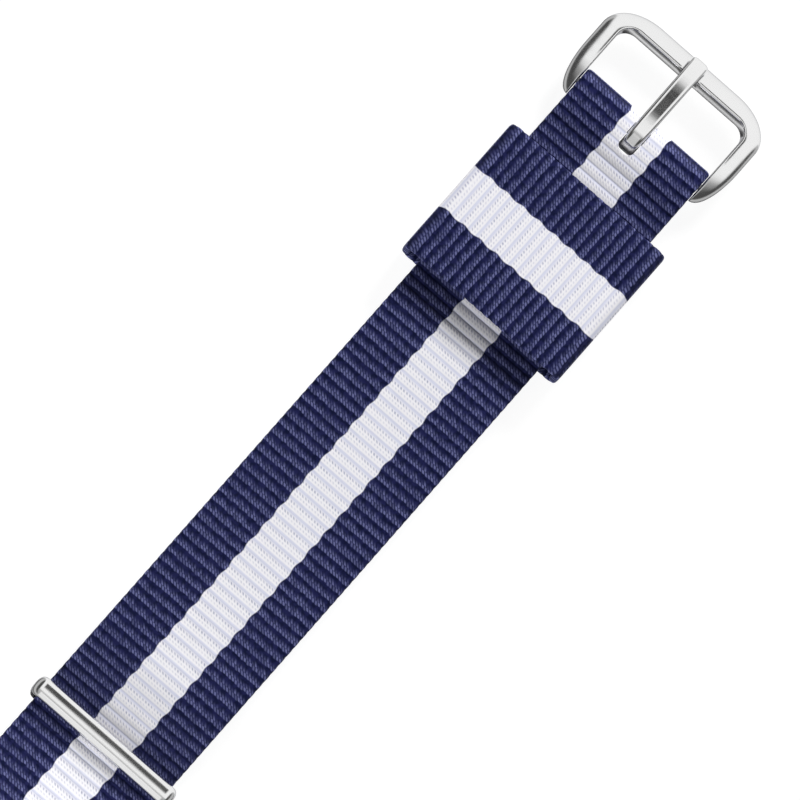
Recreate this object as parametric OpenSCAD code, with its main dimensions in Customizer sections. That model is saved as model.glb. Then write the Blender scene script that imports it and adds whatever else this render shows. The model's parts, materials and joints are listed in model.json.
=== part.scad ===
// A pass-through watch strap of striped webbing, laid flat with its buckle toward +X and its tail toward -X.
// The wrist side is down. Distances along the strap are taken from the fold's outer edge, toward the tail.

/* [Webbing] */
// Width of the webbing
web_w = 20; // [16:0.5:24]
// Thickness of the webbing
web_t = 1.1; // [0.9:0.05:1.3]
// Width of the stripe along the middle
stripe_w = 6.3; // [3:0.1:9]
// Gap between two layers that are sewn together
layer_gap = 0.05; // [0.02:0.01:0.1]
// Play of a piece that slides along the webbing
play = 0.2; // [0.2:0.02:0.3]

/* [Main strap] */
// From the fold's outer edge to the tail's tip
strap_l = 255; // [235:1:290]
// From the fold's outer edge to the end of the leg that is turned back under it
return_l = 28; // [26:0.5:32]
// Diameter of the holes in the tail
hole_d = 2.6; // [2:0.1:3]
// Number of holes in the tail
hole_count = 9; // [5:1:11]
// Distance from hole to hole
hole_pitch = 7.5; // [6:0.5:9]
// From the tip to the first hole
first_hole = 28; // [20:1:40]
// Length of the tail's rounded tip
tip_l = 11; // [8:0.5:16]

/* [Short strap] */
// From the fold's outer edge to the start of the short strap
short_start = 13; // [12:0.5:15]
// From the fold's outer edge to the middle of the metal ring
ring_place = 103.3; // [97:0.1:115]
// Height of the tunnel that the ring's lower bar lies in
tunnel_h = 1.8; // [1.7:0.05:2.1]
// Length over which the loop closes beside the ring
loop_slope_l = 8; // [7:0.5:10]
// Length of the loop's sewn end
loop_seam_l = 6; // [5:0.5:8]

/* [Keeper] */
// Length of the keeper along the strap, which is the width of its webbing
keeper_l = 20.5; // [18:0.1:24]
// From the fold's outer edge to the keeper
keeper_place = 11.85; // [9:0.05:16]
// Slack inside the keeper on each side of the strap
keeper_slack = 1.55; // [0.5:0.05:2]
// Room inside the keeper above the strap, for the tail
keeper_room = 1.25; // [1.2:0.05:1.6]
// Outer radius of the keeper's side folds
keeper_r = 1.5; // [1.4:0.1:2.4]

/* [Metal ring] */
// Length of the ring's section along the strap
ring_l = 2.75; // [2:0.05:3.2]
// Thickness of the ring's section
ring_t = 1; // [0.8:0.05:1.2]
// Play between the ring and the edges of the strap
ring_play = 0.15; // [0.05:0.05:0.3]
// Room inside the ring above the strap
ring_room = 0.65; // [0.6:0.05:1.3]
// Inner radius of the ring's corners
ring_corner_r = 0.35; // [0.3:0.05:0.5]

/* [Spring bar] */
// Diameter of the spring bar's tube
bar_d = 1.8; // [1.6:0.05:2]
// Wall of the tube
bar_wall = 0.25; // [0.2:0.01:0.3]
// Diameter of the tips
tip_d = 0.8; // [0.7:0.05:0.9]
// How far each tip stands out of the tube
tip_out = 0.9; // [0.7:0.05:1]
// Diameter of the spring's wire
wire_d = 0.14; // [0.1:0.01:0.16]
// Number of turns of the spring
spring_turns = 14; // [8:1:20]

/* [Buckle] */
// How far the frame reaches past the fold's outer edge, measured along its arch
frame_reach = 10.05; // [9:0.05:12]
// Width of the frame's legs
leg_w = 2.45; // [2.2:0.05:2.8]
// Width of the frame's outer bar
outer_bar_w = 2.9; // [2.2:0.05:3.2]
// Thickness of the frame
frame_t = 2.3; // [2:0.05:2.6]
// Radius of the frame's arch
arch_r = 18; // [15:0.5:30]
// From the bar to the highest point of the arch
arch_crest = 4.5; // [3:0.25:6]
// Length of the frame's outer corners along the strap
corner_l = 3.7; // [3:0.1:5]
// Length of the frame's outer corners across the strap
corner_w = 6; // [4:0.1:7]
// Radius of the frame's inner corners
inner_corner_r = 1.9; // [1:0.1:2.5]
// How far the legs reach behind the bar
nose_back = 2.15; // [1.8:0.05:2.4]
// Length over which each leg narrows to its end
nose_l = 6.5; // [5:0.1:7]
// Play between the frame and the edges of the strap
frame_play = 0.06; // [0.04:0.02:0.2]

/* [Tongue] */
// Width of the tongue
tongue_w = 2.3; // [1.8:0.05:2.6]
// Thickness of the tongue where it is bent round the bar
tongue_t = 1.9; // [1.6:0.05:2]
// Thickness of the tongue at its free end
tongue_end_t = 1.3; // [1:0.05:1.5]
// Radius of the tongue's arch, along its middle line
tongue_arch_r = 21; // [20:0.5:23]
// From the bar to the highest point of the tongue's arch
tongue_crest = 2.9; // [2.7:0.05:3.1]
// Play of the tongue in its slot and its notch
tongue_play = 0.1; // [0.08:0.01:0.2]
// Room in the slot behind the tongue, so that it can stand up square to the strap
slot_room = 0.55; // [0.5:0.05:0.8]

/* [Hidden] */
$fn = 64;

navy = [0.10, 0.13, 0.33];
white = [0.93, 0.93, 0.98];
thread_navy = [0.07, 0.09, 0.24];
steel = [0.78, 0.79, 0.80];
spring_steel = [0.62, 0.63, 0.64];

bar_r = bar_d / 2;
bar_play = 0.1;
fold_in_r = bar_r + bar_play;
fold_r = fold_in_r + web_t;

// Threads of the seams: a thread stands out a little all along, and more in the middle of each stitch
thread_t = 0.32;
thread_base = 0.04;
thread_proud = 0.1;
thread_rise = thread_base + thread_proud;
stitch_l = 2;

// Heights of the layers, from the surface that the strap lies on
keeper_z = thread_rise;
short_z = keeper_z + web_t + play;
return_z = short_z + web_t + layer_gap;
bar_z = return_z + web_t + layer_gap / 2;
stack_z = bar_z + layer_gap / 2;
low_z = short_z + web_t + layer_gap;
ring_level_z = low_z + tunnel_h;

// Places along X, measured from the middle of the bar
fold_blend = 6.5;
return_end = fold_r - return_l;
step_l = 5;
tip_x = fold_r - strap_l;
short_end = fold_r - short_start;
keeper_x = fold_r - keeper_place - keeper_l / 2;
ring_x = fold_r - ring_place;
tunnel_play = 0.3;
turn_in_r = (tunnel_h + layer_gap) / 2;
turn_x = ring_x - ring_l / 2 - tunnel_play + turn_in_r;
turn_z = short_z - layer_gap + turn_in_r;
slope_top = ring_x + ring_l / 2 + tunnel_play + 0.2;
slope_end = slope_top + loop_slope_l;
seam_end = slope_end + loop_seam_l;
tail_drop_start = turn_x - turn_in_r - web_t;
tail_drop_l = 18;
slope_steps = 14;
loop_end_z = short_z - layer_gap - web_t;

half_w = web_w / 2;
bands = [
    [-half_w, -stripe_w / 2, navy], [-stripe_w / 2, stripe_w / 2, white], [stripe_w / 2, half_w, navy]
];

// Sizes across the strap of the spring bar and the frame
leg_in_y = half_w + frame_play;
leg_out_y = leg_in_y + leg_w;
tube_gap = 0.1;
tube_l = 2 * (leg_in_y - tube_gap);
lip_l = 0.5;
tip_play = 0.05;
tip_end_play = 0.02;
edge_cut = 0.15;
bore_r = bar_r - bar_wall;
shoulder_r = bore_r - tip_play;
shoulder_l = 2.2;
coil_play = 0.06;
stub_r = bore_r - coil_play - wire_d - 2 * coil_play;
stub_l = 1.6;
tip_travel = tip_out - tube_gap;
spring_r = bore_r - coil_play - wire_d / 2;
spring_half = tube_l / 2 - lip_l - shoulder_l;

// Goes smoothly from 0 to 1 as x goes from one place to the other
function blend(x, from, to) = let (u = min(1, max(0, (x - from) / (to - from)))) u * u * (3 - 2 * u);

// Places from one end of a slope to the other
function places(from, to) = [for (k = [0:slope_steps]) from + (to - from) * k / slope_steps];

// Heights of the undersides of the layers
function return_leg_z(x) = return_z - (fold_in_r - layer_gap / 2) * (1 - blend(x, 0, -fold_blend));
function short_strap_z(x) = short_z + tunnel_h * blend(x, slope_end, slope_top);
function main_strap_z(x) =
    stack_z + (fold_in_r - layer_gap / 2) * (1 - blend(x, 0, -fold_blend))
    - (stack_z - low_z) * blend(x, return_end, return_end - step_l)
    + tunnel_h * blend(x, slope_end, slope_top)
    - ring_level_z * blend(x, tail_drop_start, tail_drop_start - tail_drop_l);

main_xs = concat(
    places(0, -fold_blend), places(return_end, return_end - step_l), places(slope_end, slope_top),
    places(tail_drop_start, tail_drop_start - tail_drop_l), [tip_x]
);
return_xs = concat(places(0, -fold_blend), [return_end]);
short_xs = concat([short_end], places(slope_end, slope_top), [turn_x]);

// Side view of a layer of webbing, from its places and the heights of its underside there
function layer(xs, zs) = concat(
    [for (k = [0:len(xs) - 1]) [xs[k], zs[k]]],
    [for (k = [len(xs) - 1:-1:0]) [xs[k], zs[k] + web_t]]
);

// Points of an outline with round corners, centred
function rounded(w, h, r) = [
    for (c = [[1, 1, 0], [-1, 1, 90], [-1, -1, 180], [1, -1, 270]], a = [0:10:90])
        [c[0] * (w / 2 - r) + r * cos(c[2] + a), c[1] * (h / 2 - r) + r * sin(c[2] + a)]
];

// Faces of a solid through rings of points. Seen from the first ring, the points of each run clockwise
function skin_faces(rings, sides) = concat(
    [for (i = [0:rings - 2], j = [0:sides - 1])
        let (a = i * sides + j, b = i * sides + (j + 1) % sides)
        each [[a, b + sides, b], [a, a + sides, b + sides]]],
    [[for (j = [0:sides - 1]) j]],
    [[for (j = [sides - 1:-1:0]) (rings - 1) * sides + j]]
);

module skin(rings) {
    sides = len(rings[0]);
    polyhedron([for (ring = rings) each ring], skin_faces(len(rings), sides), convexity = 6);
}

// A point on the rim of a section between an ellipse and a rectangle, for half sizes of one
section_sides = 24;
section_power = 0.78;
function power(v) = sign(v) * pow(abs(v), section_power);
section = [for (k = [0:section_sides - 1])
    let (a = 360 * (k + 0.5) / section_sides) [power(cos(a)), power(sin(a))]];

// A side view, given width across the strap
module across(y0, y1) { translate([0, y1, 0]) rotate([90, 0, 0]) linear_extrude(y1 - y0) children(); }

// Half a tube of webbing round an axis along Y, on the +X side
module half_turn(in_r, y0, y1) {
    rotate([90, 0, 0]) rotate([0, 0, -90]) rotate_extrude(angle = 180)
        translate([in_r, -y1]) square([web_t, y1 - y0]);
}

// The webbing

module main_band(y0, y1) {
    across(y0, y1) polygon(layer(main_xs, [for (x = main_xs) main_strap_z(x)]));
    across(y0, y1) polygon(layer(return_xs, [for (x = return_xs) return_leg_z(x)]));
    translate([0, 0, bar_z]) half_turn(fold_in_r, y0, y1);
}

// The slot for the tongue runs through both layers of the fold. The tongue's rod is bent round the bar at
// eye_r, and its bore then cuts a little into it
eye_play = 0.15;
eye_cut = 0.05;
eye_r = bar_r + eye_play - eye_cut + tongue_t;
slot_w = tongue_w + 2 * tongue_play;
slot_back = -eye_r - slot_room;

module tongue_slot() {
    slot_h = bar_z + fold_r + 2;
    translate([slot_back + slot_w / 2, 0, -1]) {
        cylinder(d = slot_w, h = slot_h);
        translate([0, -slot_w / 2, 0]) cube([fold_r + 1 - slot_back - slot_w / 2, slot_w, slot_h]);
    }
}

module tail_holes() {
    for (k = [0:hole_count - 1])
        translate([tip_x + first_hole + k * hole_pitch, 0, -1]) cylinder(d = hole_d, h = web_t + 2);
}

// Plan of what is cut away round the tail's tip: near half an ellipse, and a little blunter
tip_power = 0.9;
tip_plan = concat(
    [[tip_l, half_w + 1], [tip_l, half_w]],
    [for (a = [6:6:174]) [tip_l * (1 - pow(sin(a), tip_power)), half_w * cos(a)]],
    [[tip_l, -half_w], [tip_l, -half_w - 1], [-1, -half_w - 1], [-1, half_w + 1]]
);

module tip_trim() { translate([tip_x, 0, -1]) linear_extrude(web_t + 2) polygon(tip_plan); }

module main_strap() {
    placed() for (band = bands)
        color(band[2]) difference() {
            main_band(band[0], band[1]);
            tongue_slot();
            tail_holes();
            tip_trim();
        }
}

module short_band(y0, y1) {
    across(y0, y1) polygon(layer(short_xs, [for (x = short_xs) short_strap_z(x)]));
    across(y0, y1) polygon(layer([turn_x, seam_end], [loop_end_z, loop_end_z]));
    translate([turn_x, 0, turn_z]) rotate([0, 180, 0]) half_turn(turn_in_r, y0, y1);
}

module short_strap() {
    placed() for (band = bands) color(band[2]) short_band(band[0], band[1]);
}

// The keeper is one turn of webbing round the strap, so its stripe runs round its middle

keeper_in_w = web_w + 2 * keeper_slack;
keeper_in_h = stack_z + keeper_room - keeper_z;
keeper_w = keeper_in_w + 2 * web_t;
keeper_h = keeper_in_h + 2 * web_t;
keeper_stripe = 6.7;

// One band of the keeper's webbing. Its two ends meet under the strap, at the butt seam
module keeper_band(x0, x1) {
    translate([x0, 0, keeper_h / 2]) rotate([90, 0, 90]) linear_extrude(x1 - x0) difference() {
        polygon(rounded(keeper_w, keeper_h, keeper_r));
        polygon(rounded(keeper_in_w, keeper_in_h, keeper_r - web_t));
        translate([0, -keeper_h / 2 + web_t / 2]) square([layer_gap, 2 * web_t], center = true);
    }
}

module keeper_loop() {
    placed() translate([keeper_x, 0, keeper_z]) {
        color(navy) keeper_band(-keeper_l / 2, -keeper_stripe / 2);
        color(white) keeper_band(-keeper_stripe / 2, keeper_stripe / 2);
        color(navy) keeper_band(keeper_stripe / 2, keeper_l / 2);
    }
}

// Seams: rows of lock stitches, with a thread above and a thread below that meet in each needle hole

seam_inset = 1.5;
thread_bed = 0.15;
stitch_points = 6;
across_stitches = floor((web_w - 4) / stitch_l);

// Outer edge of a thread over or under a row of stitches that lies at height z
function thread_line(count, z, side) = [
    for (k = [0:count * stitch_points]) [
        k * stitch_l / stitch_points,
        z + side * (thread_base + thread_proud * abs(sin(180 * k / stitch_points)))
    ]
];

// A row along X, centred, through layers that lie between two heights
module stitch_row(count, low, high) {
    upper = thread_line(count, high, 1);
    across(-thread_t / 2, thread_t / 2) difference() {
        translate([-count * stitch_l / 2, 0])
            polygon(concat(thread_line(count, low, -1), [for (k = [len(upper) - 1:-1:0]) upper[k]]));
        for (k = [0:count - 1])
            translate([(k + 0.5 - count / 2) * stitch_l, (low + high) / 2])
                square([stitch_l - thread_t, high - low - 2 * thread_bed], center = true);
    }
}

module stitch_row_across(x, count, low, high) {
    translate([x, 0, 0]) rotate([0, 0, 90]) stitch_row(count, low, high);
}

// A box of four rows holds the short strap and the leg that is turned back under the main strap
module fold_stitching() {
    seam_front = short_end - seam_inset;
    seam_back = return_end + seam_inset;
    side_stitches = floor((seam_front - seam_back) / stitch_l) - 1;
    color(thread_navy) placed() {
        for (x = [seam_front, seam_back]) stitch_row_across(x, across_stitches, short_z, stack_z + web_t);
        for (y = [-1, 1]) translate([(seam_front + seam_back) / 2, y * (half_w - seam_inset), 0])
            stitch_row(side_stitches, short_z, stack_z + web_t);
    }
}

// Two rows close the loop for the ring. Their upper threads lie in the webbing, clear of the main strap
module ring_loop_stitching() {
    color(thread_navy) placed() for (x = [slope_end + seam_inset, seam_end - seam_inset])
        stitch_row_across(x, across_stitches, loop_end_z, short_z + web_t - thread_rise);
}

// Short rows of two stitches each cross the butt seam. Their upper threads lie in the keeper's webbing,
// clear of the strap
module keeper_stitching() {
    row_pitch = 2.2;
    rows = floor((keeper_l - 2 * seam_inset) / row_pitch) + 1;
    color(thread_navy) placed() for (k = [0:rows - 1])
        stitch_row_across(
            keeper_x + (k - (rows - 1) / 2) * row_pitch, 2, keeper_z, keeper_z + web_t - thread_rise
        );
}

// The metal ring

// The ring's section: flat on the inside, half an ellipse on the outside, with cut inner edges
ring_edge = 0.12;
ring_section = concat(
    [[-ring_l / 2 + ring_edge, 0], [ring_l / 2 - ring_edge, 0]],
    [for (a = [0:12:180]) [ring_l / 2 * cos(a), ring_edge + (ring_t - ring_edge) * sin(a)]]
);

ring_in_w = web_w + 2 * ring_play;
ring_low_z = short_z + (tunnel_h - ring_t) / 2;
ring_in_z = ring_low_z + ring_t;
ring_in_h = ring_level_z + web_t + ring_room - ring_in_z;

// A straight bar of the ring's section along Y, with its inside facing -Z
module ring_bar(length) { rotate([90, 0, 0]) linear_extrude(length, center = true) polygon(ring_section); }

// The corner at +Y and +Z
module ring_quarter() {
    translate([0, ring_in_w / 2 - ring_corner_r, ring_in_h / 2 - ring_corner_r])
        rotate([0, -90, 0]) rotate_extrude(angle = 90) rotate(-90) translate([0, ring_corner_r])
            polygon(ring_section);
}

module strap_ring() {
    color(steel) placed() translate([ring_x, 0, ring_in_z + ring_in_h / 2]) {
        for (turn = [0, 180]) rotate([turn, 0, 0]) {
            translate([0, 0, ring_in_h / 2]) ring_bar(ring_in_w - 2 * ring_corner_r);
            rotate([-90, 0, 0]) translate([0, 0, ring_in_w / 2]) ring_bar(ring_in_h - 2 * ring_corner_r);
        }
        for (side = [0, 1], turn = [0, 1]) mirror([0, side, 0]) mirror([0, 0, turn]) ring_quarter();
    }
}

// The spring bar lies along Y, its middle at the height of the bar

module along_bar() { placed() translate([0, 0, bar_z]) rotate([-90, 0, 0]) children(); }

// The tube is rolled in at both ends, so that the tips' shoulders stay inside
module spring_bar_tube() {
    half = tube_l / 2;
    lip_r = tip_d / 2 + tip_play;
    color(spring_steel) along_bar() rotate_extrude() polygon([
        [bore_r, -half + lip_l], [lip_r, -half + lip_l], [lip_r, -half],
        [bar_r - edge_cut, -half], [bar_r, -half + edge_cut],
        [bar_r, half - edge_cut], [bar_r - edge_cut, half],
        [lip_r, half], [lip_r, half - lip_l], [bore_r, half - lip_l]
    ]);
}

// A tip: a pin with a shoulder inside the tube's lip and a stub that the spring goes over
module spring_bar_tip() {
    tip_r = tip_d / 2;
    tip_end = tube_l / 2 + tip_out;
    shoulder = tube_l / 2 - lip_l - tip_end_play;
    rotate_extrude() polygon([
        [0, shoulder - shoulder_l - stub_l], [stub_r, shoulder - shoulder_l - stub_l],
        [stub_r, shoulder - shoulder_l], [shoulder_r, shoulder - shoulder_l], [shoulder_r, shoulder],
        [tip_r, shoulder], [tip_r, tip_end - edge_cut], [tip_r - edge_cut, tip_end], [0, tip_end]
    ]);
}

module spring_bar_tip_left() { color(steel) along_bar() spring_bar_tip(); }

module spring_bar_tip_right() { color(steel) along_bar() rotate([180, 0, 0]) spring_bar_tip(); }

// The spring: one unbroken coil, from the shoulder of one tip to that of the other
spring_steps = 12;
spring_sides = 6;

function coil_ring(k) = let (
        share = k / (spring_turns * spring_steps), a = 360 * share * spring_turns,
        along = (spring_half - wire_d) * (2 * share - 1)
    ) [for (j = [0:spring_sides - 1]) let (b = 360 * j / spring_sides, r = spring_r + wire_d / 2 * cos(b))
        [r * cos(a), r * sin(a), along - wire_d / 2 * sin(b)]];

module spring_bar_spring() {
    color(spring_steel) along_bar() skin([for (k = [0:spring_turns * spring_steps]) coil_ring(k)]);
}

// The buckle's frame is drawn flat and then bent to its arch. Its flat places are measured from the bar

frame_end = fold_r + frame_reach;
inner_end = frame_end - outer_bar_w;
corner_x = frame_end - corner_l;
nose_end_share = 0.06;
nose_power = 0.35;

// Bends a flat point about an axis along Y under the arch's crest, and keeps the middle of the bar in place
function arch_angle(x) = (x - arch_crest) / arch_r * 180 / PI;
function bent(x, y, h) = let (a = arch_angle(x), a0 = arch_angle(0)) [
    (arch_r + h) * sin(a) - arch_r * sin(a0), y, bar_z + (arch_r + h) * cos(a) - arch_r * cos(a0)
];

// One ring of the frame: its inner and outer places, and its thickness
function frame_ring(inner, outer, t) = [for (s = section) let (
        mid = (inner + outer) / 2, p = mid + (outer - mid) * s.x
    ) bent(p.x, p.y, t / 2 * s.y)];

// From the nose of the leg at +Y to the middle of the outer bar
function leg_station(a) = let (
        x = nose_l - nose_back - nose_l * sin(a), w = leg_w * (nose_end_share + (1 - nose_end_share) * cos(a))
    ) [[x, leg_in_y], [x, leg_in_y + w], frame_t * pow(cos(a), nose_power)];

// Round the corner, and then along the outer bar
function corner_station(a) = [
    [inner_end - inner_corner_r * (1 - sin(a)), leg_in_y - inner_corner_r * (1 - cos(a))],
    [corner_x + corner_l * sin(a), leg_out_y - corner_w * (1 - cos(a))],
    frame_t
];
function bar_station(share) = [
    [inner_end, (leg_in_y - inner_corner_r) * share], [frame_end, (leg_out_y - corner_w) * share], frame_t
];
half_stations = concat(
    [for (a = [88, 84, 78, 71, 63, 54, 44, 33, 22, 11, 0]) leg_station(a)],
    [let (x = (nose_l - nose_back + corner_x) / 2) [[x, leg_in_y], [x, leg_out_y], frame_t]],
    [for (a = [0:7.5:90]) corner_station(a)],
    [for (share = [0.6, 0.3]) bar_station(share)]
);
function other_side(station) = [
    [station[0].x, -station[0].y], [station[1].x, -station[1].y], station[2]
];
frame_stations = concat(
    half_stations, [bar_station(0)],
    [for (k = [len(half_stations) - 1:-1:0]) other_side(half_stations[k])]
);
function frame_rings() = [for (s = frame_stations) frame_ring(s[0], s[1], s[2])];

// Puts a shape that is drawn from the middle of the bar in the middle of the part
frame_front = max([for (ring = frame_rings(), p = ring) p.x]);
bar_x = -(frame_front + tip_x) / 2;
module placed() { translate([bar_x, 0, 0]) children(); }

// A blind hole in each leg takes a tip of the spring bar
module buckle_frame() {
    hole_end = leg_in_y + tip_travel + edge_cut;
    color(steel) difference() {
        placed() skin(frame_rings());
        for (turn = [0, 180]) along_bar() rotate([turn, 0, 0]) translate([0, 0, leg_in_y - 1])
            cylinder(r = tip_d / 2 + tip_play, h = hole_end - leg_in_y + 1);
        placed() tongue_notch();
    }
}

// The tongue: a rod that is bent round the bar and arched like the frame, with its free end in a notch

eye_mid_r = eye_r - tongue_t / 2;
eye_turn = 264;
tongue_rise = asin(tongue_crest / (tongue_arch_r - eye_mid_r));
tongue_root = -eye_mid_r * sin(tongue_rise);
tongue_top = eye_mid_r * cos(tongue_rise);
tongue_back = 0.1;
tongue_reach = frame_front - tongue_back;

// Slope of the tongue's middle line, its height above the bar, and the tongue's thickness
function tongue_slope(x) = -asin((x - tongue_crest) / tongue_arch_r);
function tongue_z(x) = tongue_top + tongue_arch_r * (cos(tongue_slope(x)) - cos(tongue_rise));
function tongue_depth(x) = tongue_t + (tongue_end_t - tongue_t) * x / tongue_reach;
function tongue_under(x) = tongue_z(x) - tongue_depth(x) / 2 / cos(tongue_slope(x));

// The tongue rests over the inner edge of the notch
module tongue_notch() {
    inner_x = tongue_reach - outer_bar_w;
    fall = tongue_under(inner_x) - tongue_under(tongue_reach);
    translate([inner_x, 0, bar_z + tongue_under(inner_x) - tongue_play / 2])
        rotate([0, atan(fall / outer_bar_w), 0]) translate([-1, -tongue_w / 2 - tongue_play, 0])
            cube([outer_bar_w + 2, tongue_w + 2 * tongue_play, frame_t * 2]);
}

// One ring of the tongue at a place and a slope of its middle line, with its width and thickness
function tongue_ring(x, z, slope, w, t) = [for (s = section)
    [x - t / 2 * s.y * sin(slope), -w / 2 * s.x, bar_z + z + t / 2 * s.y * cos(slope)]];

// The rod's free end is rounded over end_l, down to a share of its width and thickness
end_l = 0.4;
end_share = [0.6, 0.3];
function end_ring(a) = let (x = tongue_reach - end_l * (1 - cos(a))) tongue_ring(
    x, tongue_z(x), tongue_slope(x),
    tongue_w * (1 - (1 - end_share[0]) * (1 - sin(a))),
    tongue_end_t * (1 - (1 - end_share[1]) * (1 - sin(a)))
);

// Its arm runs back to the top of the bar, and its eye goes on round the bar
arm_steps = 20;
function arm_ring(x) = tongue_ring(x, tongue_z(x), tongue_slope(x), tongue_w, tongue_depth(x));
function eye_ring(a) = tongue_ring(
    -eye_mid_r * sin(tongue_rise + a), eye_mid_r * cos(tongue_rise + a), a + tongue_rise, tongue_w, tongue_t
);
tongue_rings = concat(
    [for (a = [0:30:60]) end_ring(a)],
    [for (k = [0:arm_steps])
        arm_ring(tongue_root + (tongue_reach - end_l - tongue_root) * (1 - k / arm_steps))],
    [for (a = [12:12:eye_turn]) eye_ring(a)]
);

module buckle_tongue() {
    color(steel) difference() {
        placed() skin(tongue_rings);
        along_bar() cylinder(r = bar_r + eye_play, h = tongue_w + 2, center = true);
    }
}

main_strap();
short_strap();
fold_stitching();
ring_loop_stitching();
keeper_loop();
keeper_stitching();
buckle_frame();
spring_bar_tube();
spring_bar_spring();
spring_bar_tip_left();
spring_bar_tip_right();
buckle_tongue();
strap_ring();
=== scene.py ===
# %% [markdown]
# # A striped watch strap with a steel buckle
#
# A pass-through strap is one long band of woven nylon webbing. It turns round a spring bar that holds the
# buckle, and a second, shorter band is sewn under it and ends in a loop with a steel ring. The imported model
# already has every piece in its place and with its joints. This lesson gives each piece its looks: the ribs
# and threads of the webbing, the stitches, and the polished steel.
#
# Sizes are worked out in millimetres, as on a drawing, and MM turns them into Blender's metres.

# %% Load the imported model
import json
import math

import bpy
import numpy as np
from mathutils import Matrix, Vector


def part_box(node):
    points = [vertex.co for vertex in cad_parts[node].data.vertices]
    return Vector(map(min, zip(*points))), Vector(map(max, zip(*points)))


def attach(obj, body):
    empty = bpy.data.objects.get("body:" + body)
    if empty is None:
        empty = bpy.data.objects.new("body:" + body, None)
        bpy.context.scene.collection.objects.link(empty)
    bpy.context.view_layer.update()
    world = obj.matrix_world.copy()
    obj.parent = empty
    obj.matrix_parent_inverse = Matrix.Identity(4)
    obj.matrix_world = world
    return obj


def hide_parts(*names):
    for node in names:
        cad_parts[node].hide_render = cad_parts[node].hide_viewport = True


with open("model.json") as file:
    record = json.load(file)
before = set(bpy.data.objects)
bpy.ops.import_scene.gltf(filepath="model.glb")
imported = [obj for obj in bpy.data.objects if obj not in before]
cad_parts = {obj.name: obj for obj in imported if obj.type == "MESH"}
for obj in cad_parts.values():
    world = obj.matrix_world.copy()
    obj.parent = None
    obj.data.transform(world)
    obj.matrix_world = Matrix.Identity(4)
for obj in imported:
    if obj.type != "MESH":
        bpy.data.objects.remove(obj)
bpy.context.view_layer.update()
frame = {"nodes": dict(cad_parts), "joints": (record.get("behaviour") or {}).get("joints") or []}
MM = 0.001
print("nodes:", ", ".join(sorted(frame["nodes"])))

# %% [markdown]
# ## Where things are
#
# Nothing is placed by eye. The buckle's hinge gives the middle of the spring bar, and the boxes of the
# nodes give the rest. Lengths along the strap are counted from the spring bar, so that the buckle's end is
# on the +X side and the tail runs to -X.

# %% Places that the model gives
hinge = next(joint for joint in frame["joints"] if joint["name"] == "buckle_swing")
BAR_X, BAR_Z = hinge["pos_m"][0] / MM, hinge["pos_m"][2] / MM


def limits(node):
    """The lowest and highest corner of a node in mm, counted from the spring bar."""
    shift = np.array([BAR_X, 0, 0])
    low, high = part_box(node)
    return np.array(low) / MM - shift, np.array(high) / MM - shift


strap_low = limits("main_strap")[0]
keeper_low, keeper_high = limits("keeper_loop")
ring_low, ring_high = limits("strap_ring")
TIP_X, RING_X = strap_low[0], (ring_low[0] + ring_high[0]) / 2
print("spring bar at", BAR_X, BAR_Z, "tip at", round(TIP_X, 2), "ring at", round(RING_X, 2))

# %% [markdown]
# ## The camera
#
# The strap is photographed from nearly straight above, turned so that it crosses the picture from the lower
# left to the buckle at the upper right. A very long lens, almost three metres away, keeps its two edges
# parallel. The camera leans 8 degrees toward the buckle, which shows a little of the inner walls of the
# steel.

# %% Make the camera
def aim_camera(target, turn, lean, distance, lens):
    """Looks at a target in mm from above. turn is the strap's angle in the picture, lean is toward +X."""
    ahead = np.array([math.cos(lean), 0, math.sin(lean)])
    aside = np.array([0.0, 1.0, 0.0])
    right = ahead * math.cos(turn) - aside * math.sin(turn)
    up = ahead * math.sin(turn) + aside * math.cos(turn)
    back = np.cross(right, up)
    data = bpy.data.cameras.new("camera")
    camera = bpy.data.objects.new("camera", data)
    bpy.context.scene.collection.objects.link(camera)
    data.lens, data.sensor_width = lens, 36
    data.clip_start, data.clip_end = 0.01, 10
    from_above = np.array(target) + back * distance
    matrix = np.eye(4)
    matrix[:3, 0], matrix[:3, 1], matrix[:3, 2], matrix[:3, 3] = right, up, back, from_above * MM
    camera.matrix_world = matrix.T.tolist()
    bpy.context.scene.camera = camera
    return camera


camera = aim_camera(target=(75.73, 0.42, 3.7), turn=math.radians(48.66), lean=math.radians(8),
                    distance=2745, lens=1000)
print("camera at", [round(v, 3) for v in camera.matrix_world.translation])

# %% [markdown]
# ## Floor and light
#
# The floor is a plain pale sheet. A little light of its own keeps it near white, so that the shadows on it
# stay faint, as on a light table. Two low soft lights stand past the ends of the strap: the one past the
# buckle makes the keeper's shadow, and the one past the tail makes the ring's. The second has a narrow
# beam, because the tail lies right under it and would be lit too brightly. A low white card beside the ring
# only shines in the steel.

# %% Lay the floor and hang the lights
def clear_selection():
    bpy.ops.object.select_all(action="DESELECT")


def choose(*pieces):
    """Selects these pieces alone, and makes the first one active."""
    clear_selection()
    for piece in pieces:
        piece.select_set(True)
    bpy.context.view_layer.objects.active = pieces[0]


clear_selection()
bpy.ops.mesh.primitive_plane_add(size=4, location=(0, 0, 0))
floor = bpy.context.object
floor.name = "floor"
paper = bpy.data.materials.new("white_paper")
paper.use_nodes = True
paper_shader = paper.node_tree.nodes["Principled BSDF"]
paper_shader.inputs["Base Color"].default_value = (0.12, 0.12, 0.12, 1)
paper_shader.inputs["Roughness"].default_value = 0.9
paper_shader.inputs["Emission Color"].default_value = (1, 1, 1, 1)
paper_shader.inputs["Emission Strength"].default_value = 0.93
floor.data.materials.append(paper)
floor.visible_glossy = False


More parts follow.
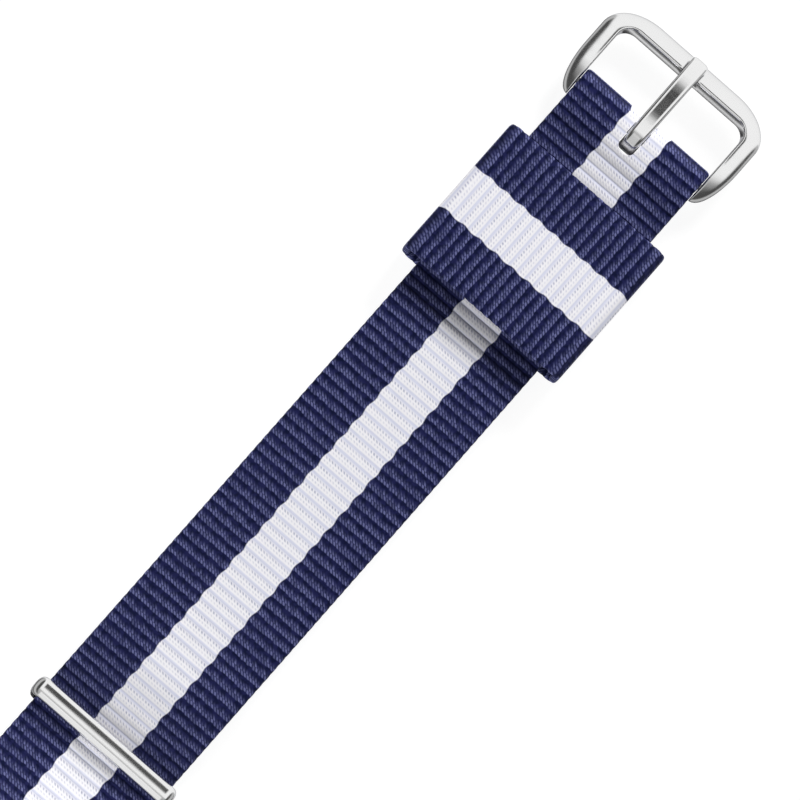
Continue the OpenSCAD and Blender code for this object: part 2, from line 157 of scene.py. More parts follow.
def panel(name, place, target, size, power):
    """A soft light of a size in mm at a place in mm, which faces a target."""
    data = bpy.data.lights.new(name, "AREA")
    data.shape, data.size, data.size_y, data.energy = "RECTANGLE", size[0] * MM, size[1] * MM, power
    light = bpy.data.objects.new(name, data)
    bpy.context.scene.collection.objects.link(light)
    away = np.array(place, float) - np.array(target, float)
    away /= np.linalg.norm(away)
    side = np.cross((0, 1, 0), away)
    side /= np.linalg.norm(side)
    matrix = np.eye(4)
    matrix[:3, 0], matrix[:3, 1], matrix[:3, 2] = side, np.cross(away, side), away
    matrix[:3, 3] = np.array(place) * MM
    light.matrix_world = matrix.T.tolist()
    return light


past_buckle = panel("light_past_buckle", (BAR_X + 285, 20, 225), (BAR_X - 30, 0, 0), (110, 110), 1.6)
past_tail = panel("light_past_tail", (BAR_X - 316, 20, 99), (BAR_X - 90, 0, 0), (61, 61), 0.15)
past_buckle.visible_glossy = past_tail.visible_glossy = False
past_tail.data.spread = math.radians(90)

CARD_X, CARD_Z, CARD_L, CARD_W, CARD_GLOW = BAR_X + RING_X - 125, 32, 230, 72, 0.3
by_ring = panel("card_by_ring", (CARD_X, 0, CARD_Z), (CARD_X, 0, 0), (CARD_L, CARD_W),
                CARD_GLOW * math.pi * CARD_L * CARD_W * MM ** 2)
by_ring.visible_diffuse = by_ring.visible_camera = False
bpy.context.scene.view_settings.view_transform = "Standard"

# %% [markdown]
# ## Shader sums in plain Python
#
# A woven pattern is arithmetic: which rib is this point on, which thread, how far from its middle. Wire
# wraps one socket, so that an expression such as `1 - mask * 0.5` adds the Math nodes that work it out.
# `add` makes any other node, `split` takes a vector apart, and `mixed` goes from one colour to another.

# %% A small class for the sums
class Wire:
    """The output of a node, ready for sums."""

    def __init__(self, tree, socket=None):
        self.tree, self.socket = tree, socket

    def add(self, kind, settings=None, values=None, output=0):
        """Adds a node, sets its settings and then its sockets, and returns one of its outputs."""
        node = self.tree.nodes.new("ShaderNode" + kind)
        for name, value in (settings or {}).items():
            setattr(node, name, value)
        for name, value in (values or {}).items():
            if isinstance(value, Wire):
                self.tree.links.new(value.socket, node.inputs[name])
            else:
                node.inputs[name].default_value = value
        return Wire(self.tree, node.outputs[output])

    def maths(self, operation, *values):
        return self.add("Math", {"operation": operation}, dict(enumerate(values)))

    def split(self):
        """The X, Y and Z parts of a vector."""
        node = self.add("SeparateXYZ", None, {0: self}).socket.node
        return [Wire(self.tree, part) for part in node.outputs]

    def __add__(self, other): return self.maths("ADD", self, other)
    def __sub__(self, other): return self.maths("SUBTRACT", self, other)
    def __rsub__(self, other): return self.maths("SUBTRACT", other, self)
    def __mul__(self, other): return self.maths("MULTIPLY", self, other)
    def __truediv__(self, other): return self.maths("DIVIDE", self, other)
    def __pow__(self, other): return self.maths("POWER", self, other)
    __radd__, __rmul__ = __add__, __mul__

    def floor(self): return self.maths("FLOOR", self)
    def size(self): return self.maths("ABSOLUTE", self)
    def wave(self): return self.maths("COSINE", self * math.tau)
    def least(self, other): return self.maths("MINIMUM", self, other)
    def most(self, other): return self.maths("MAXIMUM", self, other)

    def fade(self, start, end, low=0.0, high=1.0):
        """Goes smoothly from low to high as this value goes from start to end."""
        return self.add("MapRange", {"interpolation_type": "SMOOTHSTEP"},
                        {0: self, 1: start, 2: end, 3: low, 4: high})

    def mixed(self, first, second):
        """Goes from the first colour to the second as this value goes from 0 to 1."""
        return self.add("Mix", {"data_type": "RGBA"}, {0: self, 6: first, 7: second}, 2)


def colour(red, green, blue):
    return (red, green, blue, 1)


# %% [markdown]
# ## Surroundings for the steel
#
# Polished steel shows the room, so the room is drawn with the same sums, from the direction that a ray goes
# in. `bearing` is that direction's angle in degrees from straight up, with the buckle's side positive. A
# wide white ceiling hangs over the strap. It is bright over the buckle's side and fades toward the tail,
# where a narrow strip lower down lights the tongue's root. It ends on both sides, which draws the dark line
# along the edges of the steel. The camera's own dark shape is a hole in it, which makes the dark band in
# the tongue and in the ring. Cloth doesn't see the ceiling: for all but mirror rays the room is dim, with a
# brighter band at the horizon.

# %% Draw the room
world = bpy.data.worlds.new("room")
world.use_nodes = True
room = Wire(world.node_tree)
ahead, aside, height = room.add("TexCoord").split()
bearing = ahead.maths("ARCTAN2", ahead, height) * math.degrees(1)
ceiling = bearing.fade(-36, -16, 0.07, 0.32) + bearing.fade(-20, -5, 0.0, 0.66)
strip = bearing.fade(-95, -80) * bearing.fade(-14, -28) * aside.size().fade(0.24, 0.10)
ceiling = (ceiling + strip * 0.55) * aside.fade(0.72, 0.60) * aside.fade(-0.84, -0.72)
hole = bearing.fade(5, 11) * bearing.fade(41, 34) * aside.size().fade(0.30, 0.16)
ceiling = ceiling * (1 - hole * 0.93)
horizon = height.fade(-0.5, -0.3, 0.1, 0.5).least(height.fade(0.34, 0.12, 0.07, 0.5))
from_below = height.fade(-0.70, -0.79) * height.fade(-0.88, -0.79)
mirrored_ray = room.add("LightPath", None, None, 3)
strength = (horizon + from_below).most(ceiling * mirrored_ray)
background = world.node_tree.nodes["Background"]
world.node_tree.links.new(strength.socket, background.inputs["Strength"])
background.inputs["Color"].default_value = colour(1, 1, 1)
bpy.context.scene.world = world
print("the room has", len(world.node_tree.nodes), "nodes")

# %% [markdown]
# ## Start a finish
#
# Every finish starts in the same way: a new material, its Principled shader, and the coordinates that the
# pattern is drawn on. On cloth they are the piece's own UV map, with 100 mm to its unit: u runs across the
# webbing and v along it, wherever it bends. On steel they are Object coordinates.

# %% New materials
def new_finish(name, **constants):
    """A material, its shader node and an empty wire for its sums."""
    material = bpy.data.materials.new(name)
    material.use_nodes = True
    shader = material.node_tree.nodes["Principled BSDF"]
    for socket, value in constants.items():
        shader.inputs[socket.replace("_", " ")].default_value = value
    return material, shader, Wire(material.node_tree)


def feed(shader, **wires):
    """Leads wires to sockets of the shader."""
    for socket, wire in wires.items():
        wire.tree.links.new(wire.socket, shader.inputs[socket.replace("_", " ")])


def bumps(height, depth, normal=None):
    """Turns a height from 0 to 1 into the shading of bumps that are depth mm deep."""
    values = {"Height": height, "Distance": depth * MM, "Strength": 1.0}
    if normal:
        values["Normal"] = normal
    return height.add("Bump", None, values)


UV_MM = 100
print("one unit of the UV maps is", UV_MM, "mm")

# %% [markdown]
# ## The finish of the webbing
#
# The webbing has thick cords across it, the ribs, and fine lengthwise threads that pass over one rib and
# under the next. On one rib the odd threads show and on the next the even ones, so the threads of
# neighbouring ribs are half a thread apart, and the edge of the white stripe swells and narrows with them.
# Each thread is painted lighter at the top of its rib, where it would catch the light, and dives into the
# groove between ribs: a painted highlight on the navy, and painted shade toward the grooves of the white.
#
# The pattern is built from two numbers: `rib` counts ribs along the webbing and `thread` counts threads
# across it. Their whole parts give each short length of thread a number of its own, for its own tone.

# %% Weave the webbing's finish
THREAD_PITCH = 0.48
THREAD_SLANT = -0.78


def webbing_finish(name, rib_pitch, stripe_middle, stripe_width, holes=None):
    """Striped nylon webbing. holes are the first and last place and the pitch of punched holes."""
    material, shader, wire = new_finish(name, Specular_IOR_Level=0.12)
    uv = wire.add("UVMap", {"uv_map": "UVMap"})
    across, along = [part * UV_MM for part in uv.split()[:2]]

    # Which rib and which thread a point is on, and where on them
    rib = along / rib_pitch
    rib_number = rib.floor()
    on_rib = rib - rib_number
    rise = (1 - (on_rib * 2 - 1).size() ** 2.6) ** 0.8
    swing = ((rib - 0.5) * 0.5).wave()
    thread = (across - (on_rib - 0.5) * (THREAD_SLANT * rib_pitch)) / THREAD_PITCH + swing * 0.25
    second_pass = on_rib.fade(0.46, 0.48)
    thread = thread + second_pass * 0.3
    thread_number = thread.floor()
    on_thread = thread - thread_number
    round_thread = (on_thread - 0.5).size().fade(0.46, 0.06)

    # Chance: a tone for each length of thread, and two clouds of different sizes
    numbers = wire.add("CombineXYZ", None, {0: thread_number, 1: rib_number + second_pass * 0.5})
    flat = {"noise_dimensions": "2D"}
    tone = numbers.add("TexWhiteNoise", flat, {"Vector": numbers})
    cloudy = wire.add("TexNoise", flat, {"Vector": uv, "Scale": 9.0, "Detail": 2.0})
    mottled = wire.add("TexNoise", flat, {"Vector": uv, "Scale": 150.0, "Detail": 3.0})

    # Colours of the navy with its painted highlight, of the white with painted shade toward its grooves
    # and its pinholes between threads, and of the two together
    half = stripe_width / 2 + swing * 0.11
    white = ((across - stripe_middle).size() - half).fade(0.07, -0.07)
    ragged = on_rib + (tone - 0.5) * 0.12
    crest = ragged.fade(0.04, 0.64) * ragged.fade(0.82, 0.72)
    between = (on_rib - 0.47).size().fade(0.0, 0.09, 0.55, 1.0)
    # Painted highlight: the rib tops and the middles of the threads are painted lighter, where they would
    # catch the light
    painted_highlight = crest * between * (round_thread * 0.9 + 0.1) * (tone * 0.9 + cloudy * 0.4 + 0.32)
    deep = mottled.fade(0.35, 0.65).mixed(colour(0.0035, 0.0055, 0.030), colour(0.0125, 0.0145, 0.066))
    navy = painted_highlight.mixed(deep, colour(0.150, 0.162, 0.345))
    near_dots = on_rib.fade(0.14, 0.27) * on_rib.fade(0.46, 0.34)
    far_dots = on_rib.fade(0.50, 0.60) * on_rib.fade(0.76, 0.66)
    dots = (near_dots + far_dots * 0.5) * (1 - round_thread) * (tone * 0.5 + 0.5)
    # Painted shade: the white's ribs are painted darker and bluer toward their grooves
    white_with_painted_shade = on_rib.fade(0.02, 0.32).least(on_rib.fade(0.96, 0.80)).mixed(
        colour(0.71, 0.725, 0.86), colour(0.95, 0.94, 0.98))
    cloth = white.mixed(navy, dots.mixed(white_with_painted_shade, colour(0.40, 0.41, 0.56)))

    # The melted rims at the tip and round the holes
    sealed = wire.add("UVMap", {"uv_map": "seal"}).split()[0]
    if holes:
        first, last, pitch = holes
        step = ((along - first) / pitch + 0.5).floor().most(0).least(round((last - first) / pitch))
        reach = ((along - first - step * pitch) ** 2 + across ** 2) ** 0.5
        sealed = sealed.most(reach.fade(1.75, 1.42))
    melted = white.mixed(colour(0.008, 0.010, 0.050), colour(0.70, 0.69, 0.70))
    feed(shader, Base_Color=(sealed * 0.75).mixed(cloth, melted))
    feed(shader, Roughness=sealed.fade(0, 1, 0.56, 0.32) - round_thread * 0.06)
    height = (rise * 0.35 + round_thread * rise * 0.65) * (1 - sealed * 0.8)
    feed(shader, Normal=bumps(height, 0.02))
    return material


print("a thread is", THREAD_PITCH, "mm wide")

# %% [markdown]
# ## The paths of the webbing
#
# A flat strap is best drawn as a path seen from the side, because its shape across is always the same. The
# path is a list of points on the webbing's face and a list of the points right behind them. Legs are given
# by the height of their underside, which changes smoothly where one layer climbs over another, and the
# turns are parts of circles round the spring bar and round the ring.

# %% Heights of the layers
WEB_W, WEB_T, GAP = 20.0, 1.1, 0.05
THREAD_RISE, PLAY = 0.14, 0.2
FOLD_IN_R = 1.0
FOLD_R = FOLD_IN_R + WEB_T
FOLD_BLEND, STEP_L, DROP_L, TUNNEL_H = 6.5, 5.0, 18, 1.8
RETURN_L, SHORT_START, SLOPE_L, SEAM_L = 28, 13, 8, 6
RING_L, RING_PLAY_BACK, RING_PLAY_FRONT = 2.75, 0.3, 0.5

SHORT_Z = THREAD_RISE + WEB_T + PLAY
RETURN_Z = SHORT_Z + WEB_T + GAP
STACK_Z = BAR_Z + GAP / 2
LOW_Z = RETURN_Z
LOOP_END_Z = SHORT_Z - GAP - WEB_T
LEG_RISE = FOLD_IN_R - GAP / 2

RETURN_END = FOLD_R - RETURN_L
SHORT_END = FOLD_R - SHORT_START
TURN_IN_R = (TUNNEL_H + GAP) / 2
TURN_X = RING_X - RING_L / 2 - RING_PLAY_BACK + TURN_IN_R
TURN_Z = SHORT_Z - GAP + TURN_IN_R
SLOPE_TOP = RING_X + RING_L / 2 + RING_PLAY_FRONT
SLOPE_END = SLOPE_TOP + SLOPE_L
SEAM_END = SLOPE_END + SEAM_L
DROP_START = TURN_X - TURN_IN_R - WEB_T
print("layers at", round(SHORT_Z, 3), round(RETURN_Z, 3), round(STACK_Z, 3))


def blend(x, start, end):
    """Goes smoothly from 0 to 1 as x goes from start to end."""
    share = np.clip((x - start) / (end - start), 0, 1)
    return share * share * (3 - 2 * share)


def return_leg_z(x):
    return RETURN_Z - LEG_RISE * (1 - blend(x, 0, -FOLD_BLEND))


def short_strap_z(x):
    return SHORT_Z + TUNNEL_H * blend(x, SLOPE_END, SLOPE_TOP)


def main_strap_z(x):
    return (STACK_Z + LEG_RISE * (1 - blend(x, 0, -FOLD_BLEND))
            - (STACK_Z - LOW_Z) * blend(x, RETURN_END, RETURN_END - STEP_L)
            + TUNNEL_H * blend(x, SLOPE_END, SLOPE_TOP)
            - (LOW_Z + TUNNEL_H) * blend(x, DROP_START, DROP_START - DROP_L))


# %% [markdown]
# A path is put together from straight legs and round turns, and its length is that of the cut webbing.

# %% Draw the paths
def leg(start, end, height, face_up):
    """Face and back of a leg along X, from the height of its underside."""
    xs = np.linspace(start, end, max(2, int(abs(end - start) / 0.1)))
    low = np.column_stack([xs, 0 * xs, height(xs)])
    high = low + (0, 0, WEB_T)
    return (high, low) if face_up else (low, high)


def turn(x, z, inner_r, start, end):
    """Face and back of a turn round an axis along Y, with the face outside. Angles are in degrees."""
    angles = np.radians(np.linspace(start, end, 48))[1:-1]
    ray = np.column_stack([np.cos(angles), 0 * angles, np.sin(angles)])
    return (x, 0, z) + ray * (inner_r + WEB_T), (x, 0, z) + ray * inner_r


def joined(*stretches):
    return [np.vstack([stretch[side] for stretch in stretches]) for side in (0, 1)]


def run_of(path):
    """Distance along the middle of a path at each of its points."""
    middle_line = (path[0] + path[1]) / 2
    steps = np.linalg.norm(np.diff(middle_line, axis=0), axis=1)
    return np.concatenate([[0], np.cumsum(steps)])


main_path = joined(
    leg(RETURN_END, 0, return_leg_z, False), turn(0, BAR_Z, FOLD_IN_R, -90, 90),
    leg(0, TIP_X, main_strap_z, True)
)
short_path = joined(
    leg(SHORT_END, TURN_X, short_strap_z, True), turn(TURN_X, TURN_Z, TURN_IN_R, 90, 270),
    leg(TURN_X, SEAM_END, lambda xs: LOOP_END_Z + 0 * xs, False)
)
MAIN_L, SHORT_L = run_of(main_path)[-1], run_of(short_path)[-1]
print("main strap", round(MAIN_L, 1), "mm, short strap", round(SHORT_L, 1), "mm")

# %% [markdown]
# The keeper is one turn of the same webbing round the strap. Its path lies in the plane across the strap,
# and starts and ends at the butt seam underneath, where its two cut ends meet.

# %% Draw the keeper's path
KEEPER_R = 1.5


def keeper_line(half_w, half_h, radius, seam_gap):
    """Points of a rectangle with round corners, from one side of the seam to the other."""
    points = [(seam_gap / 2, -half_h)]
    for side_y, side_z, start in ((1, -1, -90), (1, 1, 0), (-1, 1, 90), (-1, -1, 180)):
        for angle in np.radians(np.linspace(start, start + 90, 13)):
            points.append((side_y * (half_w - radius) + radius * math.cos(angle),
                           side_z * (half_h - radius) + radius * math.sin(angle)))
    points.append((-seam_gap / 2, -half_h))
    ys, zs = np.array(points).T
    return np.column_stack([0 * ys, ys, zs])


keeper_mid = (keeper_low + keeper_high) / 2
keeper_half = (keeper_high - keeper_low) / 2
keeper_path = [
    keeper_line(keeper_half[1] - inset, keeper_half[2] - inset, KEEPER_R - inset, GAP) + keeper_mid
    for inset in (0, WEB_T)
]
KEEPER_L, KEEPER_W = run_of(keeper_path)[-1], 2 * keeper_half[0]
print("keeper's webbing", round(KEEPER_L, 1), "x", round(KEEPER_W, 1), "mm")

# %% [markdown]
# ## From a grid to a band
#
# A sheet of graph paper can be rolled into any long piece: its rows become places along the piece, and its
# columns go once round it. `rolled` adds Blender's own Grid, moves each of its points to the place that the
# piece gives, merges the two edges that meet, closes the ends, and turns the faces outward.

# %% Roll a grid into a piece
WELD = 0.0005 * MM


def select_mesh(action="SELECT"):
    bpy.ops.mesh.select_all(action=action)


def rolled(name, points, uvs=None, seals=None):
    """A closed mesh from rows of points in mm. uvs and seals are given per row and column."""
    rows, columns = points.shape[0], points.shape[1]
    clear_selection()
    bpy.ops.mesh.primitive_grid_add(x_subdivisions=rows - 1, y_subdivisions=columns, size=1)
    piece = bpy.context.object
    piece.name = piece.data.name = name
    mesh = piece.data
    flat = np.zeros(len(mesh.vertices) * 3)
    mesh.vertices.foreach_get("co", flat)
    grid = flat.reshape(-1, 3) + 0.5
    row = np.rint(grid[:, 0] * (rows - 1)).astype(int)
    column = np.rint(grid[:, 1] * columns).astype(int)
    places = points[row, column % columns] + (BAR_X, 0, 0)
    mesh.vertices.foreach_set("co", (places * MM).ravel())
    corners = np.zeros(len(mesh.loops), int)
    mesh.loops.foreach_get("vertex_index", corners)
    if uvs is not None:
        wrapped = np.concatenate([uvs, uvs[:, :1]], axis=1)
        mesh.uv_layers[0].name = "UVMap"
        mesh.uv_layers[0].data.foreach_set("uv", (wrapped[row, column][corners] / UV_MM).ravel())
    if seals is not None:
        layer = mesh.uv_layers.new(name="seal")
        amounts = seals[row, column % columns][corners]
        layer.data.foreach_set("uv", np.column_stack([amounts, 0 * amounts]).ravel())
    mesh.update()
    bpy.ops.object.mode_set(mode="EDIT")
    select_mesh()
    bpy.ops.mesh.remove_doubles(threshold=WELD)
    select_mesh("DESELECT")
    bpy.ops.mesh.select_mode(type="EDGE")
    bpy.ops.mesh.select_non_manifold()
    bpy.ops.mesh.edge_face_add()
    bpy.ops.mesh.select_mode(type="VERT")
    select_mesh()
    bpy.ops.mesh.normals_make_consistent(inside=False)
    bpy.ops.object.mode_set(mode="OBJECT")
    return piece


def smooth(piece, angle=50):
    """Smooth shading, except where the surface turns by more than the angle."""
    choose(piece)
    bpy.ops.object.shade_smooth_by_angle(angle=math.radians(angle))


# %% [markdown]
# The ribs are real relief, because they show at the edges and in low light. Seven points per rib are
# enough: two close together in the groove, where the webbing turns sharply, and the others over the rounded
# top. Across the webbing the points crowd at the two selvedges, which are rounded and swell a little with
# each rib.

# %% Weave a band along a path
RIB_DEPTH = 0.09
RIB_PLACES = (0.0, 0.07, 0.2, 0.38, 0.62, 0.8, 0.93)
HALF_SECTION = ((1.0, 0.28), (0.994, 0.62), (0.977, 0.86), (0.945, 1.0), (0.8, 1.0), (0.56, 1.0),
                (0.34, 1.0), (0.2, 1.0), (0.1, 1.0), (0.0, 1.0))
TOP = [(-u, h) for u, h in HALF_SECTION] + [(u, h) for u, h in HALF_SECTION[-2::-1]]
SECTION = np.array(TOP + [(u, -h) for u, h in TOP[::-1]])


def rib_rise(share):
    """Height of a rib, from 0 in the groove to 1 on top, for a share of its width."""
    return np.abs(np.sin(math.pi * share)) ** 0.6


def band(name, path, width, rib_pitch, axis, half_width=None, extra=()):
    """Webbing along a path. half_width narrows it at given distances, and seals its edge there."""
    run = run_of(path)
    length = run[-1]
    ribs = np.arange(int(length / rib_pitch) + 1)[:, None] + np.array(RIB_PLACES)
    at = np.unique(np.concatenate([(ribs * rib_pitch).ravel(), [0, length], length - np.array(extra)]))
    at = at[(at >= 0) & (at <= length)]
    at = at[np.concatenate([[True], np.diff(at) > 0.004])]
    face, back = (np.column_stack([np.interp(at, run, side[:, k]) for k in range(3)]) for side in path)
    rise = rib_rise(at / rib_pitch % 1)[:, None]
    half = np.full(len(at), width / 2) if half_width is None else half_width(length - at)
    u, h = SECTION[:, 0][None, :], SECTION[:, 1][None, :]
    across = u * (half[:, None] - 0.07 * (1 - rise) * np.abs(u) ** 8)
    height = h / 2 * (1 - RIB_DEPTH / (WEB_T / 2) * (1 - rise))
    middle_line, through = (face + back) / 2, face - back
    points = (middle_line[:, None] + across[..., None] * np.array(axis)
              + height[..., None] * through[:, None])
    uvs = np.stack([across, np.broadcast_to(at[:, None], across.shape)], axis=2)
    edge = np.minimum(half[:, None] - np.abs(across), (length - at)[:, None])
    narrowed = (half < width / 2 - 0.02)[:, None]
    seals = np.where(narrowed, np.clip(1 - edge / 0.45, 0, 1), 0)
    if half_width is not None:
        points -= (height * seals * 0.16)[..., None] * through[:, None]
    piece = rolled(name, points, uvs, seals)
    print(name, len(at), "rows,", len(piece.data.polygons), "faces")
    return piece


# %% [markdown]
# ## The main strap
#
# The tail ends in a rounded tip and has a row of holes for the buckle's tongue. Both are cut with heat,
# which melts a thin shiny rim and keeps the webbing from fraying. The tip comes from narrowing the band,
# and the holes and the tongue's slot in the fold are cut by cylinders and a box, with a Boolean modifier.

# %% Weave the main strap
TIP_L, TIP_POWER = 11.0, 0.9
RIB_PITCH, STRIPE_SHIFT, STRIPE_W = 1.4, -0.33, 6.3


def tip_half_width(from_tip):
    """Half the strap's width at a distance from its tip."""
    sine = np.clip(1 - from_tip / TIP_L, 0, 1) ** (1 / TIP_POWER)
    return WEB_W / 2 * np.sqrt(np.clip(1 - sine ** 2, 1e-6, 1))


near_tip = (0.002, 0.012, 0.03, 0.06, 0.1, 0.16, 0.24, 0.34, 0.46, 0.6, 0.78, 1.0)
main_strap = band("strap_webbing", main_path, WEB_W, RIB_PITCH, (0, 1, 0), tip_half_width, near_tip)

# %% [markdown]
# The punches are joined into one tool and used once. Their walls carry the look of a melted edge, which the
# cut leaves behind on the inside of each hole.

# %% Punch the holes and cut the slot
HOLE_D, HOLE_COUNT, HOLE_PITCH, FIRST_HOLE = 2.6, 9, 7.5, 28.0
SLOT_W, SLOT_BACK, SLOT_FRONT = 2.5, -2.9 - 0.55, 6


def sealed_edge_finish():
    """The melted rim of a hole or slot in nylon."""
    material, shader, wire = new_finish("sealed_edge", Specular_IOR_Level=0.5)
    place = wire.add("TexCoord", None, None, 3)
    lumps = wire.add("TexNoise", None, {"Vector": place, "Scale": 2600.0, "Detail": 3.0})
    feed(shader, Base_Color=lumps.mixed(colour(0.42, 0.42, 0.46), colour(0.74, 0.73, 0.74)))
    feed(shader, Roughness=lumps * 0.25 + 0.25, Normal=bumps(lumps, 0.04))
    return material


sealed_edge = sealed_edge_finish()
hole_places = [TIP_X + FIRST_HOLE + k * HOLE_PITCH for k in range(HOLE_COUNT)]


def cut(piece, cutter):
    """Takes one piece out of another."""
    step = piece.modifiers.new("cut", "BOOLEAN")
    step.operation, step.solver, step.object = "DIFFERENCE", "EXACT", cutter
    step.material_mode = "TRANSFER"
    choose(piece)
    bpy.ops.object.modifier_apply(modifier=step.name)
    bpy.data.objects.remove(cutter)


def punches():
    """Round punches over the tail and one flat punch with a round end over the fold."""
    tools = []
    for x in hole_places:
        bpy.ops.mesh.primitive_cylinder_add(
            vertices=40, radius=HOLE_D / 2 * MM, depth=4 * MM, location=((BAR_X + x) * MM, 0, 0))
        tools.append(bpy.context.object)
    round_end = SLOT_BACK + SLOT_W / 2
    bpy.ops.mesh.primitive_cylinder_add(
        vertices=40, radius=SLOT_W / 2 * MM, depth=12 * MM,
        location=((BAR_X + round_end) * MM, 0, 3 * MM))
    slot_tool = bpy.context.object
    bpy.ops.object.mode_set(mode="EDIT")
    select_mesh("DESELECT")
    bpy.ops.object.mode_set(mode="OBJECT")
    for vertex in slot_tool.data.vertices:
        if vertex.co.x > 0.0001 * MM:
            vertex.co.x = SLOT_FRONT * MM
            vertex.co.y = math.copysign(SLOT_W / 2 * MM, vertex.co.y)
    choose(slot_tool, *tools)
    bpy.ops.object.join()
    bpy.ops.object.transform_apply(location=True)
    bpy.ops.object.mode_set(mode="EDIT")
    select_mesh()
    bpy.ops.mesh.remove_doubles(threshold=WELD)
    bpy.ops.mesh.dissolve_limited(angle_limit=math.radians(1))
    bpy.ops.mesh.normals_make_consistent(inside=False)
    bpy.ops.object.mode_set(mode="OBJECT")
    slot_tool.data.materials.append(sealed_edge)
    return slot_tool


hole_runs = (MAIN_L - FIRST_HOLE - (HOLE_COUNT - 1) * HOLE_PITCH, MAIN_L - FIRST_HOLE, HOLE_PITCH)
strap_finish = webbing_finish("striped_nylon", RIB_PITCH, STRIPE_SHIFT, STRIPE_W, hole_runs)
main_strap.data.materials.append(strap_finish)
cut(main_strap, punches())
smooth(main_strap)
print("main strap:", len(main_strap.data.polygons), "faces")

# %% [markdown]
# ## The short strap and the keeper
#
# Both are the same webbing, so they are woven by the same function. The keeper's ribs are a little closer
# together, and its stripe lies slightly off its middle.

# %% Weave the short strap and the keeper
short_strap = band("short_strap_webbing", short_path, WEB_W, RIB_PITCH, (0, 1, 0))
short_strap.data.materials.append(webbing_finish("striped_nylon_short", RIB_PITCH, STRIPE_SHIFT, STRIPE_W))
smooth(short_strap)
KEEPER_PITCH, KEEPER_STRIPE_SHIFT, KEEPER_STRIPE_W = 1.33, -0.3, 6.6
keeper = band("keeper_webbing", keeper_path, KEEPER_W, KEEPER_PITCH, (1, 0, 0))
keeper.data.materials.append(
    webbing_finish("striped_nylon_keeper", KEEPER_PITCH, KEEPER_STRIPE_SHIFT, KEEPER_STRIPE_W))
smooth(keeper)

# %% [markdown]
# Each band now takes the place of its node and rides on the node's body.

# %% Hand the webbing to the model
for piece, node, body in ((main_strap, "main_strap", "strap"), (short_strap, "short_strap", "strap"),
                          (keeper, "keeper_loop", "keeper")):
    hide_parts(node)
    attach(piece, body)
for piece, width, length, held, rests_on in (
        (main_strap, WEB_W, MAIN_L, "folded", ["short_strap_webbing"]),
        (short_strap, WEB_W, SHORT_L, "folded", ["floor"]),
        (keeper, KEEPER_W, KEEPER_L, "folded", ["floor"])):
    width * MM
    length * MM

# %% [markdown]
# ## Stitches
#
# A lock stitch shows as a short length of twisted thread between two needle holes. One stitch is modelled
# once, with two plies that wind round each other and ends that dive into the webbing, and is then copied
# along each seam, above and below.

# %% Model one stitch
STITCH_L, THREAD_T = 2.0, 0.32


def stitch_points(steps=10, sides=10, turns=1.25):
    """One stitch along X, its middle at the origin and its top toward +Z."""
    rows = []
    for share in np.linspace(0, 1, steps + 1):
        taper = max(0.12, math.sin(math.pi * share) ** 0.35)
        angles = np.linspace(0, math.tau, sides, endpoint=False)
        ply = 0.78 + 0.22 * np.abs(np.cos(angles - turns * math.tau * share / 2))
        radius = THREAD_T / 2 * taper * ply
        sag = 0.16 * (1 - math.sin(math.pi * share) ** 0.5)
        rows.append(np.column_stack([np.full(sides, (share - 0.5) * (STITCH_L - 0.12)),
                                     radius * np.cos(angles), radius * np.sin(angles) - sag]))
    return np.array(rows)


def thread_finish():
    """Twisted polyester thread: fine slanted plies and a silky gloss."""
    material, shader, wire = new_finish("navy_thread", Specular_IOR_Level=0.5, Sheen_Weight=0.2)
    uv = wire.add("UVMap", {"uv_map": "UVMap"})
    round_it, along = [part * UV_MM for part in uv.split()[:2]]
    ply = (along * 2.2 + round_it * 2.0).wave() * 0.5 + 0.5
    feed(shader, Base_Color=ply.mixed(colour(0.006, 0.008, 0.045), colour(0.03, 0.034, 0.13)))
    feed(shader, Roughness=0.55 - ply * 0.15, Normal=bumps(ply, 0.02))
    return material


one_stitch = stitch_points()
navy_thread = thread_finish()
print("one stitch has", one_stitch.shape[0] * one_stitch.shape[1], "points")


# %% [markdown]
# A box of stitches closes the fold, two rows close the ring's loop, and short rows close the keeper.

# %% Sew the seams
def seam(x, y, count, low, high, along_y):
    """Places of a row's stitches, above and below: middle, direction along Y or X, and side."""
    places = []
    for k in range(count):
        shift = (k + 0.5 - count / 2) * STITCH_L
        middle_x, middle_y = (x, y + shift) if along_y else (x + shift, y)
        for z, side in ((high, 1), (low, -1)):
            places.append((middle_x, middle_y, z, side, along_y))
    return places


def sewn(name, rows, node, body):
    """One piece for all the stitches of a seam, in place of the seam's node."""
    stitches = []
    for x, y, z, side, along_y in (place for row in rows for place in row):
        points = one_stitch.copy()
        points[..., 2] = z + side * (points[..., 2] - THREAD_T / 2 + THREAD_RISE)
        if along_y:
            points[..., [0, 1]] = points[..., [1, 0]]
        points[..., 0] += x
        points[..., 1] += y
        at, round_it = np.indices(points.shape[:2])
        uvs = np.stack([round_it * 0.1, at * 0.2], axis=2)
        stitches.append(rolled(name, points, uvs))
    choose(*stitches)
    piece = stitches[0]
    bpy.ops.object.join()
    piece.name = piece.data.name = name
    piece.data.materials.append(navy_thread)
    smooth(piece, 60)
    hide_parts(node)
    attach(piece, body)
    print(name, len(stitches), "stitches,", len(piece.data.polygons), "faces")
    return piece


